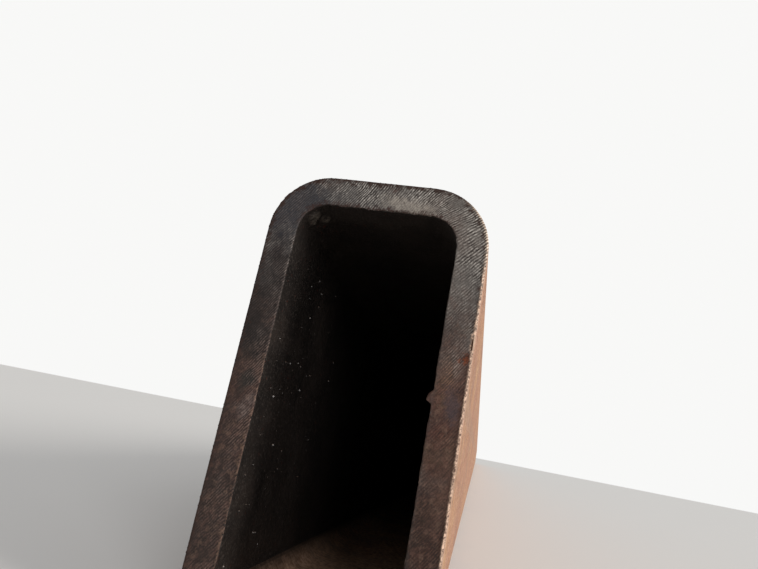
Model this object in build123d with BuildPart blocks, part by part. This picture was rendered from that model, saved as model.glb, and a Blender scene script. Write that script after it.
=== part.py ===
from build123d import *
import os

# A rectangular steel tube, as sawn from a mill length.
# It is rolled from one strip, so it is one solid: four flat walls joined by
# bent corners, closed by one weld seam that runs the whole length.
# Millimetres. X is across the narrow side, Z is up the wide side, Y is along the tube.
# The origin is at the middle of the narrow face that the tube lies on.

# Driving dimensions: the section
width = 76.2
height = 152.4
wall = 10.3
inside_corner_radius = 10.3

# Driving dimension: the length that is sold
length = 6096.0

# Driving dimensions: the weld flash left standing inside the +X wall
seam_above_middle = 7.2
flash_height = 1.6
flash_width = 4.1
flash_lip_width = 0.75
flash_swell = 0.6

# The strip is bent round one centre, so the outer bend is one wall larger.
outside_corner_radius = inside_corner_radius + wall

# The hollow
hollow_width = width - 2 * wall
hollow_height = height - 2 * wall
middle_height = height / 2

# The flash: its bottom, crest and top on the inner face of the +X wall
inner_face_x = hollow_width / 2
seam_z = middle_height + seam_above_middle
flash_bottom = (inner_face_x, seam_z - flash_width / 2)
flash_crest = (inner_face_x - flash_height, seam_z - flash_width / 2 + flash_lip_width)
flash_top = (inner_face_x, seam_z + flash_width / 2)
# It grows out of the joined edges of the strip, so its root is in the wall's middle.
flash_root_x = inner_face_x + wall / 2

# The section is drawn on the XZ plane at the tube's middle and drawn out to both ends.
with BuildPart() as tube:
    with BuildSketch(Plane.XZ) as section:
        with Locations((0, middle_height)):
            RectangleRounded(width, height, outside_corner_radius)
            RectangleRounded(hollow_width, hollow_height, inside_corner_radius, mode=Mode.SUBTRACT)
        # The flash is steep on its lower side, where it stands up as a lip,
        # and falls away in a long swollen curve on its upper side.
        with BuildLine():
            Line(flash_bottom, flash_crest)
            SagittaArc(flash_crest, flash_top, flash_swell)
            Polyline(
                flash_top,
                (flash_root_x, flash_top[1]),
                (flash_root_x, flash_bottom[1]),
                flash_bottom,
            )
        make_face()
    extrude(amount=length / 2, both=True)

tube.part.label = "tube"

os.makedirs("parts", exist_ok=True)
export_step(tube.part, "parts/tube.step")

print("section area mm2", round(section.sketch.area, 2))
print("volume mm3", round(tube.part.volume))
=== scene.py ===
# %% [markdown]
# # The looks of a rectangular steel tube
# The real thing is one strip of steel, rolled into a box section, closed by a weld and sawn to length.
# Three finishes meet on it: the saw's cut on the ends, the weathered rolled skin outside, and the dark
# mill scale that stays inside. The frame gives the tube's true box, and every size here follows from it.

# %% The frame
import bisect
import math
import random

import bpy
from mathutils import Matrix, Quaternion, Vector, kdtree, noise


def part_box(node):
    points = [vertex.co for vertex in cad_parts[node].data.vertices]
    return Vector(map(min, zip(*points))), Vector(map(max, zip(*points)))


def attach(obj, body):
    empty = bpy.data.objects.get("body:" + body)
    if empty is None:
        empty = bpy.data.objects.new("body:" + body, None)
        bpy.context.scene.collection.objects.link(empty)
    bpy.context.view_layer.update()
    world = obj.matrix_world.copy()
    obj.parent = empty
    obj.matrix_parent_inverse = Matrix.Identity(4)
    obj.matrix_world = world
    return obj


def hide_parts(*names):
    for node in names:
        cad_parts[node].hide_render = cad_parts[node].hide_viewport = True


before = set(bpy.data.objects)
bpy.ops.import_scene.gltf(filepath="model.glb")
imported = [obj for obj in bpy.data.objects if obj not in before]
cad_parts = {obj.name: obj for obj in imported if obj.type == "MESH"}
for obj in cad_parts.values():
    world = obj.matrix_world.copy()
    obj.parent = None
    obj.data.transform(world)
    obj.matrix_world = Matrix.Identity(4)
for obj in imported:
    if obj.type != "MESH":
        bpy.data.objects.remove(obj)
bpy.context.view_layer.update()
tube_low, tube_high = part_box("tube")
width = tube_high.x - tube_low.x
height = tube_high.z
front_y, back_y = tube_low.y, tube_high.y
print("tube", round(width, 4), round(back_y - front_y, 4), round(height, 4), "m")

# %% [markdown]
# ## Sizes that the box doesn't tell
# The wall and the bends are those of the solid. The flash is the lip of metal that the weld squeezed into the
# hollow, steep below and swollen above. The cut face stands a little behind the tube's true end, so that the
# burrs on its edges have room to stand up without making the tube any longer.

# %% Sizes of the section, in metres
wall = 0.0103
inside_radius = 0.0103
outside_radius = inside_radius + wall
half_width = width / 2
inner_x = half_width - wall
middle_z = height / 2
turn_x = half_width - outside_radius
turn_z = height - outside_radius
middle_radius = outside_radius - wall / 2

seam_z = middle_z + 0.0072
flash_height = 0.0016
flash_width = 0.0041
flash_lip_width = 0.00075
flash_swell = 0.0006
flash_low_z = seam_z - flash_width / 2
flash_crest_z = flash_low_z + flash_lip_width
flash_high_z = flash_low_z + flash_width

burr_room = 0.0005
stub_length = 0.006
print("the hollow is", round((width - 2 * wall) * 1000, 1), "by", round((height - 2 * wall) * 1000, 1), "mm")

# %% [markdown]
# ## The camera
# The photograph was taken from a hand's length in front of the sawn end, with a wide lens, looking a little
# up and to the left and with the camera leaning over. The place and the turns below were found by laying
# the section's straight edges, and the point that its long edges run to, over the photograph's.

# %% Camera
photo_width = 758
focal_pixels = 576.3
sensor = 36.0
inch = 0.0254

camera_right = 3.21 * inch - half_width
camera_up = 2.695 * inch
camera_away = 7.017 * inch
turned_left = math.radians(12.221)
tilted_up = math.radians(14.609)
leaning = math.radians(11.137)

looking = Vector((
    -math.sin(turned_left) * math.cos(tilted_up),
    math.cos(turned_left) * math.cos(tilted_up),
    math.sin(tilted_up),
))
bpy.ops.object.camera_add(location=(camera_right, front_y - camera_away, camera_up))
camera = bpy.context.object
camera.name = "camera"
camera.rotation_mode = "QUATERNION"
camera.rotation_quaternion = looking.to_track_quat("-Z", "Y") @ Quaternion((0, 0, 1), leaning)
camera.data.sensor_width = sensor
camera.data.lens = focal_pixels / photo_width * sensor
camera.data.clip_start = 0.01
camera.data.clip_end = 200
bpy.context.scene.camera = camera
print("lens", round(camera.data.lens, 2), "mm")

# %% [markdown]
# ## Working in edit mode from a script
# An operator acts on whatever is selected, so each step first says which faces, edges or points it means.
# These helpers do that. Two places less than a hair apart count as the same.

# %% Helpers for picking
sideways, lengthways, upwards = Vector((1, 0, 0)), Vector((0, 1, 0)), Vector((0, 0, 1))
hair = 1e-5


def only(piece):
    """Makes one object the selected and active one."""
    bpy.ops.object.select_all(action="DESELECT")
    piece.select_set(True)
    bpy.context.view_layer.objects.active = piece


def pick(piece, kind, test=lambda element: True):
    """Goes into edit mode with the VERT, EDGE or FACE elements selected that pass the test, or with all."""
    only(piece)
    bpy.ops.object.mode_set(mode="EDIT")
    bpy.ops.mesh.reveal()
    bpy.ops.mesh.select_mode(type=kind)
    bpy.ops.mesh.select_all(action="DESELECT")
    bpy.ops.object.mode_set(mode="OBJECT")
    mesh = piece.data
    elements = {"VERT": mesh.vertices, "EDGE": mesh.edges, "FACE": mesh.polygons}[kind]
    for element in elements:
        if test(element):
            element.select = True
    bpy.ops.object.mode_set(mode="EDIT")


def leave():
    """Shows everything again and goes back to object mode."""
    bpy.ops.mesh.reveal(select=False)
    bpy.ops.object.mode_set(mode="OBJECT")


def cut_all(places, direction):
    """Cuts everything that shows in edit mode by planes at these places along one direction."""
    for place in places:
        bpy.ops.mesh.select_all(action="SELECT")
        bpy.ops.mesh.bisect(plane_co=direction * place, plane_no=direction, threshold=1e-7)


def evenly(low, high, step):
    """Places between two ends, about a step apart, without the ends."""
    count = max(1, round((high - low) / step))
    return [low + (high - low) * k / count for k in range(1, count)]


# %% [markdown]
# ## The rolled section
# The mill bends a flat strip round its corners. By hand that is a box with its four long edges bevelled,
# its end faces taken off and a wall added by Solidify. Because every stretch of the tube is made by this one
# function, the stretches have the same points round their ends and can be welded to each other.

# %% The flash inside the weld
flash_lines = 6


def flash_profile():
    """Height of the flash above the wall at each of its lines, from the lower root to the upper one."""
    lines = [(flash_low_z, 0.0), (flash_crest_z, flash_height)]
    for k in range(1, flash_lines):
        share = k / flash_lines
        swell = 4 * share * (1 - share) * flash_swell
        z = flash_crest_z + (flash_high_z - flash_crest_z) * share
        lines.append((z, flash_height * (1 - share) + swell))
    lines.append((flash_high_z, 0.0))
    return lines


print("flash lines", [(round(z * 1000, 1), round(rise * 1000, 2)) for z, rise in flash_profile()])

# %% One stretch of the section
corner_segments = 14
strip_step = 0.0052


def bent_box(name, near_y, far_y):
    """The strip bent round its four corners, still without thickness and open at both ends."""
    bpy.ops.mesh.primitive_cube_add(
        size=1,
        location=(0, (near_y + far_y) / 2, middle_z),
        scale=(width, far_y - near_y, height),
    )
    piece = bpy.context.object
    piece.name = name
    bpy.ops.object.transform_apply(location=True, rotation=False, scale=True)
    pick(piece, "FACE", lambda face: abs(face.normal.y) > 0.9)
    bpy.ops.mesh.delete(type="ONLY_FACE")
    leave()
    points = piece.data.vertices

    def runs_lengthways(edge):
        first, second = [points[i].co.y for i in edge.vertices]
        return abs(first - second) > hair

    pick(piece, "EDGE", runs_lengthways)
    bpy.ops.mesh.bevel(offset=outside_radius, segments=corner_segments, profile=0.5, affect="EDGES")
    leave()
    return piece


def rolled_stretch(name, near_y, far_y):
    """A hollow stretch of the section between two places along the tube, with its ends closed by rims."""
    piece = bent_box(name, near_y, far_y)
    pick(piece, "FACE")
    cut_all(evenly(-turn_x, turn_x, strip_step), sideways)
    below = evenly(outside_radius, flash_low_z, strip_step)
    above = evenly(flash_high_z, turn_z, strip_step)
    cut_all(below + [z for z, _ in flash_profile()] + above, upwards)
    leave()

    solid = piece.modifiers.new("wall", "SOLIDIFY")
    solid.thickness = wall
    solid.offset = -1
    solid.use_even_offset = True
    only(piece)
    bpy.ops.object.modifier_apply(modifier=solid.name)

    for z, rise in flash_profile():
        if rise > 0:
            pick(piece, "VERT", lambda v: abs(v.co.x - inner_x) < hair and abs(v.co.z - z) < hair)
            bpy.ops.transform.translate(value=(-rise, 0, 0))
            leave()
    return piece


def at_the_end(y):
    """A test for the faces that close a stretch at y."""
    return lambda face: abs(face.center.y - y) < hair and abs(face.normal.y) > 0.9


def open_end(piece, y):
    """Takes off the rim at one end of a stretch."""
    pick(piece, "FACE", at_the_end(y))
    bpy.ops.mesh.delete(type="FACE")
    leave()


# %% [markdown]
# ## The sawn ends
# A band saw leaves fine parallel strokes across the whole face, here rising to the right at a bit over
# fifty degrees, no two the same depth. The face is cut along each stroke, once at its crest and once at its
# valley, and cut across at wider steps, so that each stroke can run deeper in one place than in another.
# The face is inset first: its outermost rim is what the blade pushed up into a burr.

# %% Cutting the strokes
stroke_angle = math.radians(54)
along_stroke = Vector((math.cos(stroke_angle), 0, math.sin(stroke_angle)))
across_stroke = Vector((math.sin(stroke_angle), 0, -math.cos(stroke_angle)))
stroke_step = 0.00037
cross_step = 0.0011
burr_rim = 0.0006
burr_root = 0.0016


def reach_along(direction):
    """How far the section reaches along a direction, as its lowest and highest place."""
    corners = [Vector((x, 0, z)).dot(direction) for x in (-half_width, half_width) for z in (0, height)]
    return min(corners), max(corners)


def stroke_places(seed):
    """Places of the stroke lines across the face, unevenly spaced. Every second one is a valley."""
    chance = random.Random(seed)
    place, last = reach_along(across_stroke)
    places = []
    while place < last:
        place += stroke_step * chance.uniform(0.8, 1.22)
        places.append(place)
    return places


def saw(piece, y, seed):
    """Cuts the strokes into the rim at y, and returns the places of their lines."""
    pick(piece, "FACE", at_the_end(y))
    bpy.ops.mesh.inset(thickness=burr_rim, use_boundary=True, use_even_offset=True)
    leave()
    pick(piece, "FACE", at_the_end(y))
    bpy.ops.mesh.hide(unselected=True)
    lines = stroke_places(seed)
    cut_all(lines, across_stroke)
    cut_all(evenly(*reach_along(along_stroke), cross_step), along_stroke)
    leave()
    return lines


# %% [markdown]
# Round the upper +X corner the strokes swing over, from sixty degrees on the top wall to forty in the corner.
# The points there slide along the wall, the outer edge one way and the hollow's edge the other. That turns
# the strokes and leaves the section's outline as it is.

# %% Turning the strokes round a corner
lean_stops = [(-0.03, 0.0), (-0.022, -0.14), (-0.006, -0.14), (0.006, 0.3), (0.026, 0.3), (0.052, 0.0)]


def lean_at(gone):
    """How much the strokes lean over at a place along the wall, counted from where the corner begins."""
    for (low, low_lean), (high, high_lean) in zip(lean_stops, lean_stops[1:]):
        if low <= gone <= high:
            return low_lean + (high_lean - low_lean) * (gone - low) / (high - low)
    return 0.0


def slide_round(x, z):
    """Where a place on the sawn face ends up when the strokes lean over round the upper +X corner."""
    if x < 0 and z < turn_z or z < middle_z:
        return x, z
    radius = math.hypot(max(0.0, x - turn_x), max(0.0, z - turn_z))
    quarter = radius * math.pi / 2
    if x < turn_x:
        gone, along_middle = x - turn_x, x - turn_x
    elif z < turn_z:
        gone, along_middle = quarter + turn_z - z, middle_radius * math.pi / 2 + turn_z - z
    else:
        angle = math.atan2(x - turn_x, z - turn_z)
        gone, along_middle = radius * angle, middle_radius * angle
    gone += lean_at(along_middle) * (radius - middle_radius)
    if gone < 0:
        return turn_x + gone, turn_z + radius
    if gone > quarter:
        return turn_x + radius, turn_z - (gone - quarter)
    return turn_x + radius * math.sin(gone / radius), turn_z + radius * math.cos(gone / radius)


slid_to = [round(c * 1000, 1) for c in slide_round(0.032, 0.1462)]
print("a place on the corner slides to", slid_to, "mm")

# %% [markdown]
# The depth of each stroke and the height of each bit of burr then come from smooth noise, which gives the
# same result on every run. Each stroke is a row of short beads that fade and come back every few millimetres.
# The strokes are boldest in the outer half of the wall, on the -X wall in the inner half, and worn away in
# patches. The burr is tallest on the side where the blade left the steel, the +X wall.

# %% Depth of the strokes, height of the burrs
stroke_depth = 0.00011
stroke_wander = 0.0006
stroke_ripple = 0.00034
edge_drop = 0.0003
edge_chipping = 0.00022
edge_crumbling = 0.00028
rim_wander = 0.00025
rim_overhang = 0.00028


def roughly(x, z, lumps, seed):
    """Smooth noise over the section, about from -1 to 1, with so many lumps to the metre."""
    return noise.noise(Vector((x * lumps, z * lumps, seed)))


def out_of_middle(x, z):
    """The way out from the section's core to a place on the wall, as (x, z), and how far it is."""
    over_x = max(0.0, abs(x) - turn_x)
    over_z = max(0.0, abs(z - middle_z) - (middle_z - outside_radius))
    reach = math.hypot(over_x, over_z)
    return math.copysign(over_x, x) / reach, math.copysign(over_z, z - middle_z) / reach, reach


def burr_height(x, z, outer):
    """How far the burr stands up at a place on an edge, as a share of the room for it."""
    tooth = 0.85 + 0.4 * roughly(x, z, 1300, 8.1) + 0.6 * roughly(x, z, 560, 5.3)
    ragged = 0.5 + 0.5 * roughly(x, z, 420, 3.1)
    clumps = max(0.0, 0.5 + roughly(x, z, 90, 7.7))
    side = 0.3 if z < 0.093 or x > 0 else 0.08
    if outer:
        side = 0.15 + 0.85 * min(1.0, max(0.0, (x - 0.018) / 0.018))
    return min(1.0, max(0.0, tooth) * side * (0.5 * ragged + ragged * clumps))


def stroke_number(place, lines):
    """Which line a place lies at, counted across the face: even numbers are crests, odd ones valleys."""
    k = max(0, min(len(lines) - 2, bisect.bisect_right(lines, place) - 1))
    return k + (place - lines[k]) / (lines[k + 1] - lines[k])


def stroke_vigour(x, z, reach):
    """How bold the strokes are at a place, from smooth noise and from where on the wall it is."""
    worn = 0.85 + 0.9 * roughly(x, z, 90, 5.0)
    worn += 0.8 * roughly(x, z, 260, 6.0) + 0.5 * roughly(x, z, 560, 7.0)
    outwards = (reach - inside_radius) / wall
    if x < -turn_x and z < turn_z:
        outwards = 1 - outwards
    least = 0.42 if x < 0 else 0.55
    lower = least + (1 - least) * min(1.0, max(0.0, (z - 0.12) / 0.018))
    bitten = 0.6 * math.exp(-((x - 0.0335) / 0.004) ** 2 - ((z - 0.092) / 0.006) ** 2)
    bitten += 0.7 * math.exp(-((x + 0.0292) / 0.003) ** 2 - ((z - 0.079) / 0.013) ** 2)
    return min(1.3, max(0.1, worn * (0.5 + 0.8 * outwards) * (lower + bitten)))


# %% Relief of one sawn end
def beside_an_edge(reach):
    """Says whether a place is on the line just inside one of the face's two edges."""
    return min(abs(outside_radius - burr_rim - reach), abs(inside_radius + burr_rim - reach)) < 5e-5


def sink_stroke(v, facing, reach, number, run, vigour):
    """Pushes one point in by its stroke's depth and lets it wander. Returns its share of the depth."""
    share = 1 - abs(number % 2 - 1)
    fade = 0.66 + 1.7 * noise.noise(Vector((number * 0.6, run * 470, 1.3)))
    fade *= 1 + 0.6 * noise.noise(Vector((number * 0.7, 0, 4.6)))
    depth = share * max(0.05, fade) * vigour
    v.co.y -= facing * stroke_depth * depth
    from_edge = min(outside_radius - reach, reach - inside_radius)
    loose = stroke_wander * min(1.0, max(0.0, from_edge - burr_rim) / 0.002)
    x, z = v.co.x, v.co.z
    ripple = stroke_ripple * loose / stroke_wander
    v.co.x += loose * roughly(x, z, 45, 0.4) + ripple * roughly(x, z, 330, 3.7)
    v.co.z += loose * roughly(x, z, 45, 9.4) + ripple * roughly(x, z, 330, 6.9)
    return min(1.0, depth)


def out_of_line(x, z, reach):
    """How far the very edge stands out: worn back on the outside, crumbled both ways in the hollow."""
    chipped = edge_chipping * roughly(x, z, 190, 4.2)
    if reach > middle_radius:
        return -abs(chipped) / 2
    return chipped + edge_crumbling * roughly(x, z, 620, 1.9) * (1.0 if z > turn_z else 0.5)


def relieve(piece, y, facing, lines):
    """Gives one sawn end its relief: its edges rolled over, a burr beside them, and strokes between.

    Facing is -1 on the front end and 1 on the back.
    """
    mesh = piece.data
    on_wall = {i for face in mesh.polygons if abs(face.normal.y) < 0.5 for i in face.vertices}
    names = ("valley", "burr", "across_wall", "stroke", "stroke_run", "stroke_bold")
    kept = {name: [0.0] * len(mesh.vertices) for name in names}
    tallest = 0.0
    for v in mesh.vertices:
        if abs(v.co.y - y) > hair:
            continue
        flat = Vector((v.co.x, 0, v.co.z))
        number, run = stroke_number(flat.dot(across_stroke), lines), flat.dot(along_stroke)
        v.co.x, v.co.z = slide_round(v.co.x, v.co.z)
        x, z = v.co.x, v.co.z
        way_x, way_z, reach = out_of_middle(x, z)
        vigour = stroke_vigour(x, z, reach)
        rise = burr_height(x, z, reach > middle_radius)
        i = v.index
        kept["across_wall"][i] = (outside_radius - reach) / wall
        kept["stroke"][i], kept["stroke_run"][i], kept["stroke_bold"][i] = number, run, vigour
        if i in on_wall:
            v.co.y -= facing * edge_drop
            aside = out_of_line(x, z, reach)
            kept["burr"][i] = 0.7 * rise
        elif beside_an_edge(reach):
            v.co.y += facing * burr_room * rise
            aside = rim_wander * roughly(x, z, 800, 2.7) - (rim_overhang if reach < middle_radius else 0.0)
            kept["burr"][i] = rise
            tallest = max(tallest, rise)
        else:
            aside = 0.0
            kept["valley"][i] = sink_stroke(v, facing, reach, number, run, vigour)
        v.co.x += way_x * aside
        v.co.z += way_z * aside
    for name, values in kept.items():
        mesh.attributes.new(name, "FLOAT", "POINT").data.foreach_set("value", values)
    mesh.update()
    print("tallest burr", round(tallest * burr_room * 1000, 3), "mm on", len(mesh.polygons), "faces")


# %% Front and back stubs
front_face_y = front_y + burr_room
back_face_y = back_y - burr_room
front_root_y = front_y + stub_length
back_root_y = back_y - stub_length


def sawn_stub(name, face_y, root_y, facing, seed):
    """A short stretch with a sawn face at one end, and open at its root, where the walls go on."""
    stub = rolled_stretch(name, min(face_y, root_y), max(face_y, root_y))
    pick(stub, "FACE")
    cut_all([face_y - facing * burr_root], lengthways)
    leave()
    open_end(stub, root_y)
    relieve(stub, face_y, facing, saw(stub, face_y, seed))
    return stub


front_stub = sawn_stub("front_stub", front_face_y, front_root_y, -1, 11)
back_stub = sawn_stub("back_stub", back_face_y, back_root_y, 1, 23)

# %% [markdown]
# ## The walls between the ends
# Close to each end, where the eye looks into the hollow, the walls are cut every few millimetres. Further
# in, the cuts grow apart, because nothing there shows more than the line of the wall.

# %% Walls
near_step = 0.0044
near_depth = 0.11
step_growth = 1.25


def wall_places():
    """Places of the cuts along the tube, close together near the ends and wide apart in the middle."""
    step = near_step
    depth = stub_length + step
    places = []
    while depth < (back_y - front_y) / 2 - step / 2:
        places.append(depth)
        if depth > near_depth:
            step *= step_growth
        depth += step
    return [front_y + p for p in places] + [0.0] + [back_y - p for p in reversed(places)]


walls = rolled_stretch("walls", front_root_y, back_root_y)
open_end(walls, front_root_y)
open_end(walls, back_root_y)
pick(walls, "FACE")
cut_all(wall_places(), lengthways)
leave()
print("faces on the walls", len(walls.data.polygons), "in", len(wall_places()) + 1, "rings")

# %% [markdown]
# The three stretches become one skin. Their ends meet point for point, so joining them and merging what
# coincides leaves no seam.

# %% One skin
only(front_stub)
walls.select_set(True)
back_stub.select_set(True)
bpy.ops.object.join()
tube = bpy.context.object
tube.name = "rolled_tube"
pick(tube, "VERT")
bpy.ops.mesh.remove_doubles(threshold=4e-6)
leave()


def open_edges():
    """Counts the points that lie on an open edge. A whole skin has none."""
    pick(tube, "VERT", lambda v: False)
    bpy.ops.mesh.select_non_manifold()
    leave()
    return sum(v.select for v in tube.data.vertices)


print("points on open edges", open_edges())

# %% [markdown]
# ## Blisters of scale
# Where the scale lifted from the hot steel it left small raised blisters, thickest near the mouth. Each one
# is a wall face that is inset by itself and subdivided, and its points are then rounded into a low dome with
# a place, a size and a height of its own. Each dome also gets a strength for the near-white glint that the
# hollow's finish paints on it.

# %% Blisters
blister_depth_in = 0.085
blister_inset = 0.0014
dome_cuts = 2


def blister_chance(centre):
    """How likely a place inside is to have a blister: most on the -X wall, at mid height, near the mouth."""
    deep = min(centre.y - front_y, back_y - centre.y)
    if not stub_length <= deep <= blister_depth_in:
        return 0.0
    cluster = 0.5 + noise.noise(Vector((centre.y * 60, centre.z * 40, 2.2)))
    side = 0.14
    if centre.x < -inner_x + 0.001:
        side = 0.8 if 0.06 < centre.z < 0.125 else 0.35
    if centre.z > turn_z:
        side = 0.0
    return side * cluster * (1.15 - deep / blister_depth_in)


def inner_flat(face):
    """Says whether a face belongs to a flat inner wall, and is wide enough for a blister."""
    _, _, reach = out_of_middle(face.center.x, face.center.z)
    return abs(face.normal.y) < 0.1 and reach < inside_radius + 1e-4 and face.area > 1.4e-5


chance = random.Random(5)
chosen = {}
for face in tube.data.polygons:
    if inner_flat(face) and chance.random() < blister_chance(face.center):
        chosen[face.index] = (face.center.copy(), face.normal.copy())
pick(tube, "FACE", lambda face: face.index in chosen)
bpy.ops.mesh.inset(thickness=blister_inset, use_individual=True, use_even_offset=True)
bpy.ops.mesh.subdivide(number_cuts=dome_cuts)
leave()
print("blisters", len(chosen))

# %% Rounding the blisters
centres = list(chosen.values())
finder = kdtree.KDTree(len(centres))
for index, (centre, _) in enumerate(centres):
    finder.insert(centre, index)
finder.balance()
blister = tube.data.attributes.new("blister", "FLOAT", "POINT")
domes = [
    (chance.uniform(-0.0015, 0.0015), chance.uniform(-0.0019, 0.0019),
     0.00015 + 0.00032 * chance.random() ** 3, chance.uniform(0.15, 1.0) ** 1.5)
    for _ in centres
]
inset_half_length = near_step / 2 - blister_inset
inset_half_width = strip_step / 2 - blister_inset
farthest, margin = 0.0017, 1.25

for v in tube.data.vertices:
    middle, index, gap = finder.find(v.co)
    if gap > farthest:
        continue
    normal = centres[index][1]
    aside = lengthways.cross(normal)
    away = v.co - middle
    along, across = away.y / inset_half_length, away.dot(aside) / inset_half_width
    if max(abs(along), abs(across)) > margin:
        continue
    along, across = max(-1.0, min(1.0, along)), max(-1.0, min(1.0, across))
    shift_y, shift_side, radius, glint_strength = domes[index]
    round_along = along * math.sqrt(1 - across * across / 2)
    round_across = across * math.sqrt(1 - along * along / 2)
    rise = radius * max(0.0, 1 - round_along ** 2 - round_across ** 2)
    # the blister attribute carries the painted glint: the dome's height share times its glint strength
    blister.data[v.index].value = glint_strength * rise / radius
    middle = middle + lengthways * shift_y + aside * shift_side
    v.co = middle + lengthways * (round_along * radius) + aside * (round_across * radius) + normal * rise
tube.data.update()
print("points on open edges", open_edges())

# %% [markdown]
# ## Lumps in the corner and the turned-up chip
# In the upper -X corner just inside the mouth there are lumps of thick scale. On the outer +X edge, a bit
# above the weld, the burr is torn loose: a sliver stands up beside a small dark notch. Both need finer faces
# than the wall has, so only those faces are left showing and cut, and their points are then moved.

# %% Lumps of scale
lump_start = front_face_y + burr_root
lump_end = front_y + 0.024
lump_height = 0.0013
lump_stretch = 2.2
lump_step = 0.0009
lump_corner_right, lump_corner_low = -0.0172, 0.1316
# Each lump is a place across, a depth in and a radius. So is the dimple in the last one.
lumps = [
    (-0.025, 0.0062, 0.0017), (-0.0234, 0.0058, 0.0015),
    (-0.0256, 0.009, 0.0011), (-0.0221, 0.0116, 0.0017),
]
paleness = [0.55, 0.5, 0.5, 1.0]
dimple = (-0.0219, 0.0108, 0.0007)


def in_lump_corner(co):
    """Says whether a place lies on the hollow's upper -X corner, close to the front end."""
    _, _, reach = out_of_middle(co.x, co.z)
    inside = reach < inside_radius + 3e-4 and lump_start - hair < co.y < lump_end
    return inside and -inner_x - 1e-4 < co.x < lump_corner_right and co.z > lump_corner_low


def swelling(co, x, depth_in, radius):
    """1 at the middle of a lump, 0 from its rim outwards."""
    away = math.hypot(co.x - x, (co.y - front_y - depth_in) / lump_stretch) / radius
    return max(0.0, 1 - away * away)


pick(tube, "FACE", lambda face: in_lump_corner(face.center) and abs(face.normal.y) < 0.1)
bpy.ops.mesh.hide(unselected=True)
cut_all(evenly(lump_start, lump_end, lump_step), lengthways)
leave()
pale_crust_and_light = tube.data.attributes.new("pale_crust_and_light", "FLOAT", "POINT")
highest = 0.0
for v in tube.data.vertices:
    if not in_lump_corner(v.co) or v.co.y < lump_start + 1e-4:
        continue
    way_x, way_z, _ = out_of_middle(v.co.x, v.co.z)
    bulges = [swelling(v.co, *lump) ** 1.2 for lump in lumps]
    sunk = 1.1 * swelling(v.co, *dimple)
    pale = sum(share * bulge for share, bulge in zip(paleness, bulges))
    # the lumps are painted paler where light would catch them, partly the scale's own colour; the dimple
    # takes this away as painted shade
    pale_crust_and_light.data[v.index].value = min(1.0, max(0.0, pale - sunk))
    crust = 0.75 + 0.6 * noise.noise(v.co * 900)
    rise = lump_height * min(1.2, max(0.0, sum(bulges) - sunk)) * crust
    highest = max(highest, rise)
    v.co.x -= way_x * rise
    v.co.z -= way_z * rise
tube.data.update()
print("highest lump", round(highest * 1000, 2), "mm")

# %% The chip on the outer edge
chip_low_z, chip_high_z = 0.099, 0.1046
sliver_x = half_width - 0.0004
slit_x = half_width - 0.001
slit_depth = 0.0018
chip_step = 0.0004


def near_chip(co):
    """Says whether a place lies on the sawn face by the chip."""
    beside = co.x > half_width - 0.0026 and chip_low_z - 0.001 < co.z < chip_high_z + 0.001
    return beside and co.y < front_y + 0.001


pick(tube, "FACE", lambda face: near_chip(face.center) and abs(face.normal.y) > 0.5)
bpy.ops.mesh.hide(unselected=True)
cut_all([slit_x, (slit_x + sliver_x) / 2, sliver_x, half_width - 0.0002], sideways)
cut_all(evenly(chip_low_z - chip_step, chip_high_z + chip_step, chip_step), upwards)
leave()
burr = tube.data.attributes["burr"]
for v in tube.data.vertices:
    up_share = (v.co.z - chip_low_z) / (chip_high_z - chip_low_z)
    if not near_chip(v.co) or not 0 < up_share < 1:
        continue
    bulge = math.sin(math.pi * up_share)
    if v.co.x > sliver_x - hair:
        v.co.y = front_face_y - burr_room * min(1.0, 1.3 * bulge)
        # a burr share of 1 paints the sliver with the burr's painted highlight
        burr.data[v.index].value = 1.0
    elif v.co.x > slit_x - hair:
        middle = 1 - abs(2 * (v.co.x - slit_x) / (sliver_x - slit_x) - 1)
        v.co.y += slit_depth * middle * math.sin(math.pi * min(1.0, up_share / 0.7))
tube.data.update()
print("points on open edges", open_edges())

# %% [markdown]
# ## Materials
# Every finish is worked out from the place on the steel itself, so it doesn't swim when the tube is turned.
# One finish is made at a time. The tree holds the nodes of the one that was started last, and each helper
# adds a node to it and gives back what comes out. A colour is built up as a painter would, from a ground
# and thin coats over it, each with a share that says where it lies and how thickly.

# %% Helpers for nodes
def paint(red, green, blue):
    """A colour given from 0 to 255 as a screen shows it, in the shader's own numbers."""
    def linear(level):
        level = level / 255
        return level / 12.92 if level <= 0.04045 else ((level + 0.055) / 1.055) ** 2.4
    return (linear(red), linear(green), linear(blue), 1.0)


def start_finish(name):
    """Starts a material, and finds the places on its steel."""
    global tree, places, at_x, at_y, at_z
    material = bpy.data.materials.new(name)
    material.use_nodes = True
    tree = material.node_tree
    places = add("TexCoord").outputs["Object"]
    at_x, at_y, at_z = parts(places)
    return material


def fill(node, inputs):
    """Joins or sets a node's inputs, each given by name or number, as another node's output or as a value."""
    for name, value in inputs.items():
        if isinstance(value, bpy.types.NodeSocket):
            tree.links.new(value, node.inputs[name])
        else:
            node.inputs[name].default_value = value


def add(kind, inputs=None, **settings):
    """Adds a node with these inputs and settings."""
    node = tree.nodes.new("ShaderNode" + kind)
    for name, value in settings.items():
        setattr(node, name, value)
    fill(node, inputs or {})
    return node


def parts(vector):
    """The x, y and z parts of a place or a direction."""
    return add("SeparateXYZ", {0: vector}).outputs


# %% Helpers for numbers
def sums(kind, first, second=0.0):
    """ADD, SUBTRACT, MAXIMUM and their like on one or two numbers."""
    return add("Math", {0: first, 1: second}, operation=kind).outputs[0]


def times(first, *others):
    """Numbers multiplied. Multiplied shares lie only where all of them do."""
    for other in others:
        first = sums("MULTIPLY", first, other)
    return first


def distance(value, place):
    """How far a number is from a place, either way."""
    return sums("ABSOLUTE", sums("SUBTRACT", value, place))


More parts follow.
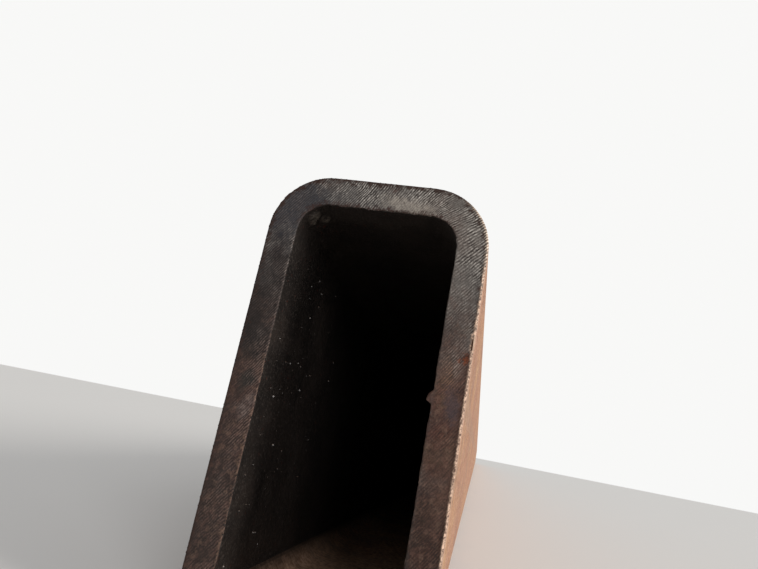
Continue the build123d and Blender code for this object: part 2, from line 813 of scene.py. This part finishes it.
def between(value, low, high, to_low=0.0, to_high=1.0):
    """Stretches the part of a number between low and high over another range, and stops at its ends."""
    return add("MapRange", {0: value, 1: low, 2: high, 3: to_low, 4: to_high}, clamp=True).outputs[0]


def band(value, start, full, fading, end):
    """1 while a number lies from full to fading, going down to 0 at start and at end."""
    return times(between(value, start, full), between(value, end, fading))


# %% Helpers for colours
def tint(share, first, second):
    """The first colour turned towards the second by a share. A colour may be three screen levels."""
    first, second = [paint(*colour) if isinstance(colour, tuple) else colour for colour in (first, second)]
    return add("Mix", {0: share, 6: first, 7: second}, data_type="RGBA").outputs[2]


def coats(colour, *layers):
    """Lays coats over a colour, one after the other. Each is a share and a colour."""
    for share, layer in layers:
        colour = tint(share, colour, layer)
    return colour


def squeezed(where, scale, turn=(0, 0, 0)):
    """The places turned first and then squeezed along the turned directions."""
    turned = add("Mapping", {"Vector": where, "Rotation": turn}).outputs[0]
    return add("Mapping", {"Vector": turned, "Scale": scale}).outputs[0]


def grain(where, scale, detail=3.0, roughness=0.5, distortion=0.0):
    """Smooth noise over the places, from 0 to 1, with so many lumps to the metre."""
    inputs = {"Vector": where, "Scale": scale, "Detail": detail, "Roughness": roughness,
              "Distortion": distortion}
    return add("TexNoise", inputs).outputs[0]


def stored(name):
    """A number that the mesh keeps at each of its points."""
    return add("Attribute", attribute_name=name).outputs["Fac"]


def facing():
    """Which way the surface faces, as x, y and z."""
    return parts(add("NewGeometry").outputs["True Normal"])


def bump(strength, deepest, lift):
    """Fine unevenness that only the light shows."""
    return add("Bump", {"Strength": strength, "Distance": deepest, "Height": lift}).outputs[0]


def patch(ragged, x, z, reach_x, reach_z, lean=0.0):
    """1 at the middle of a stain on the front end and 0 outside it, with a ragged edge."""
    off = add("VectorMath", {0: places, 1: (x, front_y, z)}, operation="SUBTRACT").outputs[0]
    off = squeezed(off, (1 / reach_x, 20.0, 1 / reach_z), (0, lean, 0))
    reach = add("VectorMath", {0: off}, operation="LENGTH").outputs["Value"]
    return between(sums("ADD", reach, between(ragged, 0.3, 0.7, -0.45, 0.45)), 1.2, 0.5)


# %% [markdown]
# ### The sawn face
# Fresh off the saw this face is bright. Weeks outdoors turn it grey, then brown from the lower end up. The
# crests of the strokes are partly polished and get a painted sheen, and their valleys get painted shade. The
# finish is built up in this order: grey and brown patches, painted sheen and shade along the strokes, single
# stains, and last the edges.

# %% Grey and brown of the sawn face
grey_above_z, brown_below_z = 0.126, 0.078


def grey_and_brown(spots):
    """Grey steel at the top that has gone brown below, and painted shade towards -X. Returns the colour and
    how brown it is.
    """
    patches = grain(places, 60, 5, 0.62, 0.7)
    clouds = grain(places, 30)
    reds = grain(places, 85, 3, 0.6, 0.5)
    lower = between(at_z, grey_above_z, brown_below_z, 0, 1.12)
    browned = between(sums("ADD", lower, between(patches, 0.34, 0.68, -0.35, 0.35)), 0, 1)
    lit_low = times(band(at_z, 0.042, 0.052, 0.066, 0.08), between(at_x, 0.0305, 0.0355, 0, 0.4))
    dull_high = times(
        band(at_z, 0.086, 0.094, 0.106, 0.116),
        between(at_x, 0.0345, 0.0305, 0, 0.5),
        between(at_x, 0.027, 0.0275),
    )
    grey = coats(
        tint(between(clouds, 0.35, 0.65), (83, 79, 76), (105, 98, 92)),
        # painted shade: the grey darkens towards the -X wall
        (between(at_x, 0.01, -0.014, 0, 0.62), (57, 54, 55)),
        (dull_high, (56, 50, 46)),
    )
    brown = coats(
        tint(between(clouds, 0.38, 0.62), (53, 33, 25), (78, 49, 38)),
        (between(spots, 0.4, 0.7, 0, 0.5), (66, 49, 46)),
        (between(reds, 0.52, 0.68, 0, 0.6), (84, 48, 38)),
        (between(reds, 0.44, 0.32, 0, 0.55), (78, 64, 46)),
        (between(at_z, brown_below_z, 0.035, 0, 0.75), (40, 27, 20)),
        # painted shade: the brown darkens on the -X wall
        (between(at_x, -0.022, -0.03, 0, 0.6), (52, 44, 41)),
        (lit_low, (100, 74, 62)),
        (dull_high, (50, 40, 34)),
    )
    return tint(browned, grey, brown), browned


# %% Painted sheen on the crests, painted shade in the valleys
torn_lean = math.radians(-42)
beads_along = 560.0


def add_crest_sheen_and_valley_shade(colour, browned):
    """Paints a pale sheen on the crest beads, which are partly polished, and painted shade in the valleys.
    Returns the colour and the beads.
    """
    torn = grain(squeezed(places, (1, 1, 0.5), (0, torn_lean, 0)), 900, 3, 0.6, 0.4)
    torn_pale = times(between(torn, 0.5, 0.64, 0, 0.34), browned)
    torn_dark = times(between(torn, 0.47, 0.34, 0, 0.42), browned)

    stroke = stored("stroke")
    along = times(stored("stroke_run"), beads_along)
    on_strokes = add("CombineXYZ", {0: times(stroke, 0.5), 1: along}).outputs[0]
    beads = grain(on_strokes, 1, 3, 0.7)
    breaks = grain(on_strokes, 1.37, 2, 0.6)
    # painted highlight: a pale sheen on the crest beads, partly polished metal
    crest_polish_and_sheen = times(
        between(beads, 0.38, 0.6),
        between(sums("PINGPONG", stroke, 1), 0.75, 0.15, 0, 0.82),
        between(browned, 0, 1, 1, 0.38),
        stored("stroke_bold"),
    )
    dulled = times(browned, between(at_z, 0.105, 0.088, 0.35, 1))
    # painted shade darkens the valleys of the strokes
    valleys = times(
        between(stored("valley"), 0.12, 0.6, 0, 0.96),
        between(browned, 0, 1, 1, 0.52),
        between(stored("across_wall"), 0.7, 0.35, 0.82, 1),
        between(breaks, 0.38, 0.54, 0.3, 1),
    )
    colour = coats(
        colour,
        (torn_pale, (108, 78, 68)),
        (torn_dark, (36, 24, 21)),
        (crest_polish_and_sheen, tint(dulled, (204, 196, 186), (144, 104, 84))),
        (valleys, (42, 34, 30)),
    )
    return colour, crest_polish_and_sheen


# %% [markdown]
# The stains are single marks that the photograph shows: a dull blue-grey corner, a paler rubbed patch, a spot
# of red rust by the outer edge, orange streaks beside the weld, and a dark oval on the -X wall. The upper
# half of that wall is also darkened all over by a patch of painted shade. Lower down on that wall the strokes
# are scratched pale through the dark.

# %% Stains on the front end
def add_stains(colour, ragged, crest_polish_and_sheen):
    """Adds the single stains of the front end, and a patch of painted shade on the -X wall, to the colour of
    the sawn face.
    """
    drifting = grain(places, 150, 5, 0.6)
    # painted shade over the upper half of the -X wall
    painted_shade_minus_x = patch(drifting, -0.034, 0.1092, 0.011, 0.029)
    painted_shade_minus_x = times(painted_shade_minus_x, between(drifting, 0.4, 0.6, 1, 0.72), 0.92)
    blue_corner = times(patch(drifting, -0.031, 0.141, 0.012, 0.0135), 0.88)
    rubbed = times(patch(ragged, 0.0085, 0.145, 0.01, 0.0026, -0.1), 0.5)
    dark_oval = times(patch(drifting, -0.0324, 0.0784, 0.0029, 0.0037, -0.3), 0.8)
    scuff = times(
        patch(drifting, -0.0302, 0.0712, 0.0022, 0.0052, -0.45),
        between(ragged, 0.36, 0.6, 0.3, 1),
        between(crest_polish_and_sheen, 0, 0.16, 0.4, 1),
        0.5,
    )
    by_weld = times(patch(ragged, 0.034, 0.0815, 0.0028, 0.0056, 0.3), 0.5)
    orange = patch(ragged, 0.0312, 0.0898, 0.0022, 0.0085, 0.12)
    orange = times(orange, between(crest_polish_and_sheen, 0.02, 0.25, 0.15, 1), 0.6)
    red = times(patch(ragged, 0.0361, 0.0967, 0.0024, 0.0018, 0.3), 0.95)
    crumbly = tint(between(ragged, 0.42, 0.56), (118, 60, 32), (58, 28, 15))
    scratches = times(
        between(crest_polish_and_sheen, 0.02, 0.2, 0, 0.5),
        between(at_x, -0.0245, -0.028),
        between(at_z, 0.094, 0.084, 0.3, 1),
    )
    return coats(
        colour,
        (painted_shade_minus_x, (27, 21, 19)),
        (blue_corner, (48, 48, 52)),
        (rubbed, (168, 158, 146)),
        (dark_oval, (36, 35, 32)),
        (scuff, (136, 124, 120)),
        (by_weld, (68, 62, 68)),
        (orange, (128, 90, 66)),
        (red, crumbly),
        (scratches, (124, 104, 96)),
    )


# %% [markdown]
# Rust creeps in from the outer edge in dark crumbs. The hollow's edge on the -X wall is rubbed to a fine line
# with a painted highlight, and along the top it is rusted and darkened by painted shade. On the +X edge the
# burr is torn and pale, with a painted highlight, and where it goes round the upper corner it is a row of
# teeth, one to each stroke, with painted highlights on their tips and painted shade between them.

# %% Edges of the sawn face
def add_edges(colour, ragged):
    """Adds the edges, with their painted highlights and painted shade, to the colour of the sawn face."""
    beads = grain(places, 1500, 2, 0.6)
    torn_off = grain(places, 1250, 3, 0.65)
    through = sums("ADD", stored("across_wall"), between(beads, 0.3, 0.7, -0.03, 0.03))
    crept_in = sums("ADD", through, between(ragged, 0.3, 0.7, 0.12, -0.16))
    worn = sums("ADD", through, between(ragged, 0.3, 0.7, -0.09, 0.09))
    rusty = times(between(crept_in, 0.15, 0.04), between(at_z, 0.112, 0.14, 0.5, 1), 0.95)
    # painted highlight on the hollow's -X edge, partly rubbed metal
    left_edge_rub_and_highlight = times(
        between(worn, 0.92, 0.99),
        between(at_x, -0.024, -0.027, 0, 0.6),
        between(at_z, 0.098, 0.088, 0.15, 1),
        between(beads, 0.36, 0.6, 0.15, 1),
        between(ragged, 0.4, 0.56, 0.2, 1),
    )
    # the hollow's top edge: partly rust, partly painted shade
    upper_edge_rust_and_shade = times(
        between(worn, 0.84, 0.96),
        between(at_z, 0.133, 0.139),
        between(beads, 0.36, 0.6, 0.4, 1),
        0.9,
    )
    right_edge = times(band(through, 0.9, 0.97, 1.02, 1.06), between(at_x, 0.022, 0.027, 0, 0.12))

    on_right = between(at_x, 0.0275, 0.0355)
    notched = times(
        on_right,
        between(through, 0.22, 0.08),
        between(torn_off, 0.52, 0.62),
        between(ragged, 0.42, 0.6, 0.1, 0.75),
    )
    from_chip = distance(at_z, (chip_low_z + chip_high_z) / 2)
    thin = sums("ADD", through, between(at_z, 0.13, 0.146, 0, 0.014))
    thin = sums("SUBTRACT", thin, between(from_chip, 0.0034, 0.0026, 0, 0.06))
    # painted highlight on the torn +X burr, which is also pale bare metal
    burr_pale_and_highlight = times(
        on_right,
        between(thin, 0.105, 0.055),
        between(torn_off, 0.62, 0.5, 0.4, 1),
        between(beads, 0.38, 0.56, 0.2, 1),
        between(ragged, 0.36, 0.52, 0.35, 1),
    )
    burr_pale_and_highlight = sums("MAXIMUM", burr_pale_and_highlight, between(stored("burr"), 0.8, 1))

    toothed = sums("PINGPONG", stored("stroke"), 1)
    round_corner = times(on_right, between(at_z, 0.12, 0.132))
    # painted shade in the gaps between the burr teeth
    tooth_gap_shade = times(
        round_corner,
        between(toothed, 0.45, 0.75, 0, 0.8),
        between(through, 0.2, 0.1),
        between(torn_off, 0.44, 0.58, 0.3, 1),
    )
    # painted highlight on the tips of the burr teeth
    tooth_highlights = times(
        round_corner,
        between(toothed, 0.65, 0.3),
        between(through, 0.13, 0.06),
        between(ragged, 0.4, 0.6, 0.15, 1),
    )
    return coats(
        colour,
        (rusty, (50, 30, 22)),
        (left_edge_rub_and_highlight, (108, 84, 68)),
        (upper_edge_rust_and_shade, (54, 31, 23)),
        (right_edge, (112, 108, 104)),
        (notched, (74, 50, 42)),
        (burr_pale_and_highlight, (218, 186, 162)),
        (tooth_gap_shade, (46, 32, 26)),
        (tooth_highlights, (240, 226, 206)),
    )


# %% Sawn steel
def make_sawn_steel():
    """The finish of the two sawn ends."""
    material = start_finish("sawn_steel")
    spots = grain(places, 190, 2)
    ragged = grain(places, 620, 3, 0.6)
    fine = grain(places, 1700, 3, 0.7)
    colour, browned = grey_and_brown(spots)
    colour, crest_polish_and_sheen = add_crest_sheen_and_valley_shade(colour, browned)
    specks = times(between(ragged, 0.52, 0.7), between(browned, 0, 1, 0, 0.38))
    rust_spots = between(spots, 0.72, 0.78, 0, 0.35)
    colour = coats(colour, (rust_spots, (96, 58, 42)), (specks, (122, 96, 80)))
    colour = add_stains(colour, ragged, crest_polish_and_sheen)
    colour = tint(between(fine, 0.5, 0.66, 0, 0.5), colour, (40, 31, 27))
    colour = add_edges(colour, ragged)
    lift = sums("ADD", fine, times(ragged, 0.8))
    fill(tree.nodes["Principled BSDF"], {
        "Base Color": colour,
        "Roughness": between(crest_polish_and_sheen, 0, 0.6, 0.7, 0.42),
        "Metallic": 0.25,
        "Specular IOR Level": 0.35,
        "Normal": bump(0.8, 0.0002, lift),
    })
    return material


# %% [markdown]
# ### The rolled outside
# Hot-rolled strip has a smooth blue-grey mill scale. Outdoors it breaks through in a bloom of salmon and tan
# rust, densest on the face that stood to the weather. Close up the bloom is marked by small winding pits
# with pale rims. The rolls leave faint lines along the tube, and the bead of the weld was planed off outside,
# which leaves a narrow smoother band along the middle of +X.

# %% Where the outside has rusted
def rust_bloom(freckles):
    """0 where the mill scale is whole and 1 where the skin has rusted all over."""
    open_side = between(facing()[0], 0.2, 0.95, 0, 0.26)
    rust = sums("ADD", open_side, grain(places, 24, 6, 0.64, 0.9))
    rust = sums("ADD", rust, between(freckles, 0.3, 0.7, -0.16, 0.16))
    return between(rust, 0.4, 0.72)


def rusted_colour(bloom, freckles, mottle, worms, rims):
    """The salmon, tan and pink of the rust."""
    blooming = between(bloom, 0.36, 0.64)
    salmon = tint(blooming, (140, 94, 72), (196, 146, 116))
    tan = tint(blooming, (158, 114, 78), (212, 168, 126))
    hues = grain(places, 46, 4, 0.6, 0.6)
    return coats(
        tint(between(grain(places, 13, 2), 0.4, 0.62), salmon, tan),
        (between(hues, 0.5, 0.62, 0, 0.65), (176, 130, 114)),
        (between(hues, 0.46, 0.34, 0, 0.55), (196, 168, 142)),
        (between(mottle, 0.46, 0.33, 0, 0.75), (130, 84, 66)),
        (between(mottle, 0.54, 0.68, 0, 0.5), (216, 182, 154)),
        (times(worms, 0.78), (110, 66, 54)),
        (times(rims, 0.42), (224, 198, 176)),
        (between(freckles, 0.59, 0.66, 0, 0.8), (106, 58, 42)),
    )


# %% Weathered skin
band_half_width = 0.004


def make_weathered_skin():
    """The finish of the rolled outside."""
    material = start_finish("weathered_skin")
    rolled = squeezed(places, (1, 0.05, 1))
    lines = grain(rolled, 420, 3, 0.6)
    clouds = grain(rolled, 9)
    bloom = grain(squeezed(places, (1, 0.65, 1)), 900, 5, 0.75)
    freckles = grain(squeezed(places, (1, 0.4, 1)), 420, 4, 0.7, 0.6)
    mottle = grain(places, 240, 4, 0.65, 0.3)
    winding = grain(places, 330, 2, 0.55, 1.2)
    bunched = between(grain(places, 120, 3, 0.6), 0.4, 0.58)
    worms = times(between(distance(winding, 0.5), 0.05, 0), bunched)
    rims = times(between(distance(winding, 0.57), 0.04, 0), bunched)

    rust = rust_bloom(freckles)
    mill_scale = tint(between(clouds, 0.35, 0.65), (86, 80, 79), (112, 97, 86))
    rubbed = times(
        rust,
        between(sums("ABSOLUTE", at_y), back_y - 0.016, back_y - 0.003, 0, 0.5),
        between(mottle, 0.4, 0.6, 0.3, 1),
    )
    planed = times(
        between(distance(at_z, seam_z), band_half_width + 0.0012, band_half_width),
        between(at_x, half_width - 0.0003, half_width - 0.0001),
        0.35,
    )
    colour = coats(
        tint(rust, mill_scale, rusted_colour(bloom, freckles, mottle, worms, rims)),
        (between(lines, 0.5, 0.7, 0, 0.22), (128, 90, 70)),
        (between(lines, 0.46, 0.3, 0, 0.14), (214, 176, 146)),
        (rubbed, (222, 190, 164)),
        (planed, (150, 128, 112)),
        # painted highlight on the burr where it reaches the skin, also pale bare metal
        (between(stored("burr"), 0.15, 0.6), (216, 180, 152)),
    )
    lift = sums("ADD", times(bloom, rust), times(lines, 0.2))
    lift = sums("SUBTRACT", lift, times(worms, 0.4))
    fill(tree.nodes["Principled BSDF"], {
        "Base Color": colour,
        "Roughness": between(rust, 0, 1, 0.5, 0.85),
        "Metallic": 0.1,
        "Normal": bump(0.9, 0.0004, lift),
    })
    return material


# %% [markdown]
# ### The hollow
# No weather reaches far into the hollow, so the dark scale from the mill stays whole there. It is nearly
# black, a little brown where damp has crept in from the mouth, and half glossy. Its blisters are painted with
# near-white glints, and its pale crumbs are partly painted glints too. Dust and rust that fell from above lie
# on its floor.

# %% Dark scale
def make_dark_scale():
    """The finish of the hollow."""
    material = start_finish("dark_scale")
    soft = grain(places, 40, 5, 0.7, 0.4)
    specks = grain(places, 560, 3, 0.6)
    crumbs = grain(places, 1350, 2, 0.6)
    rolled = grain(squeezed(places, (1, 0.06, 1)), 420, 3, 0.6)
    blister_glint = stored("blister")
    lying = times(between(facing()[2], 0.3, 0.9), between(soft, 0.34, 0.58, 0.55, 0.95))
    dust = tint(between(specks, 0.38, 0.62), (148, 112, 88), (208, 170, 142))
    # painted light on the lumps, partly the scale's own paler colour
    pale_crust_and_light = times(between(stored("pale_crust_and_light"), 0.1, 0.9, 0, 0.75), between(crumbs, 0.38, 0.6, 0.3, 1))
    colour = coats(
        tint(between(soft, 0.38, 0.66), (24, 20, 18), (36, 28, 23)),
        (between(rolled, 0.5, 0.75, 0, 0.4), (17, 15, 15)),
        # pale crumbs of scale, partly painted glints
        (between(crumbs, 0.54, 0.68, 0, 0.6), (70, 63, 58)),
        (between(specks, 0.68, 0.75, 0, 0.8), (92, 40, 28)),
        (lying, dust),
        # painted highlight: near-white glints on the blisters
        (between(blister_glint, 0.05, 0.8), (208, 206, 204)),
        (pale_crust_and_light, (112, 102, 92)),
    )
    rough = sums("SUBTRACT", between(soft, 0.3, 0.7, 0.42, 0.6), times(blister_glint, 0.22))
    lift = sums("ADD", specks, times(crumbs, 0.6))
    fill(tree.nodes["Principled BSDF"], {
        "Base Color": colour,
        "Roughness": rough,
        "Normal": bump(0.7, 0.00022, lift),
    })
    return material


# %% [markdown]
# ### Each face gets its finish
# The faces that look along the tube at its ends were cut by the saw. Of the others, those on the outer half
# of the wall's thickness are skin, and the rest belong to the hollow. Only edges sharper than 48 degrees
# stay sharp, so that the bent corners look round.

# %% Which face gets which finish
for finish in [make_sawn_steel(), make_weathered_skin(), make_dark_scale()]:
    tube.data.materials.append(finish)
    print(finish.name, "has", len(finish.node_tree.nodes), "nodes")
counts = [0, 0, 0]
for face in tube.data.polygons:
    _, _, reach = out_of_middle(face.center.x, face.center.z)
    at_end = min(face.center.y - front_y, back_y - face.center.y) < burr_room * 2
    if at_end and abs(face.normal.y) > 0.3:
        face.material_index = 0
    elif reach > middle_radius:
        face.material_index = 1
    else:
        face.material_index = 2
    counts[face.material_index] += 1
only(tube)
bpy.ops.object.shade_smooth_by_angle(angle=math.radians(48))
triangles = sum(len(face.vertices) - 2 for face in tube.data.polygons)
print("faces sawn, outside and inside", counts, "and", triangles, "triangles")

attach(tube, "root")
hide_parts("tube")

# %% [markdown]
# ## The floor and the light
# The tube lies on a plain pale floor under an even sky. One soft light comes from the right, low across the
# sawn face, which is what brings the strokes out. A weaker one from the front looks a little way into the
# hollow.

# %% Floor
bpy.ops.mesh.primitive_plane_add(size=60, location=(0, 0, 0))
floor = bpy.context.object
floor.name = "floor"
floor_finish = bpy.data.materials.new("floor_pale")
floor_finish.use_nodes = True
floor_look = {"Base Color": paint(236, 234, 230), "Roughness": 0.9}
fill(floor_finish.node_tree.nodes["Principled BSDF"], floor_look)
floor.data.materials.append(floor_finish)


# %% Light
def soft_light(name, towards_light, strength, spread, colour):
    """A far soft light. Its direction is the way from the tube to the light."""
    bpy.ops.object.light_add(type="SUN", location=Vector(towards_light) * 5)
    light = bpy.context.object
    light.name = name
    light.rotation_mode = "QUATERNION"
    light.rotation_quaternion = Vector(towards_light).to_track_quat("Z", "Y")
    light.data.energy = strength
    light.data.angle = math.radians(spread)
    light.data.color = colour


soft_light("light_from_the_right", (0.93, -0.19, 0.31), 2.2, 22, (1.0, 0.97, 0.93))
soft_light("light_from_the_front", (0.48, -0.8, 0.36), 1.0, 26, (0.98, 0.98, 1.0))

world = bpy.data.worlds.new("pale_sky")
bpy.context.scene.world = world
world.use_nodes = True
tree = world.node_tree
tree.nodes.clear()
seen = add("LightPath").outputs["Is Camera Ray"]
lit = add("Background", {"Color": (0.97, 0.98, 1.0, 1.0), "Strength": 0.42}).outputs[0]
shown = add("Background", {"Color": (0.94, 0.94, 0.93, 1.0), "Strength": 1.0}).outputs[0]
both = add("MixShader", {0: seen, 1: lit, 2: shown}).outputs[0]
add("OutputWorld", {"Surface": both})
bpy.context.scene.view_settings.view_transform = "Standard"
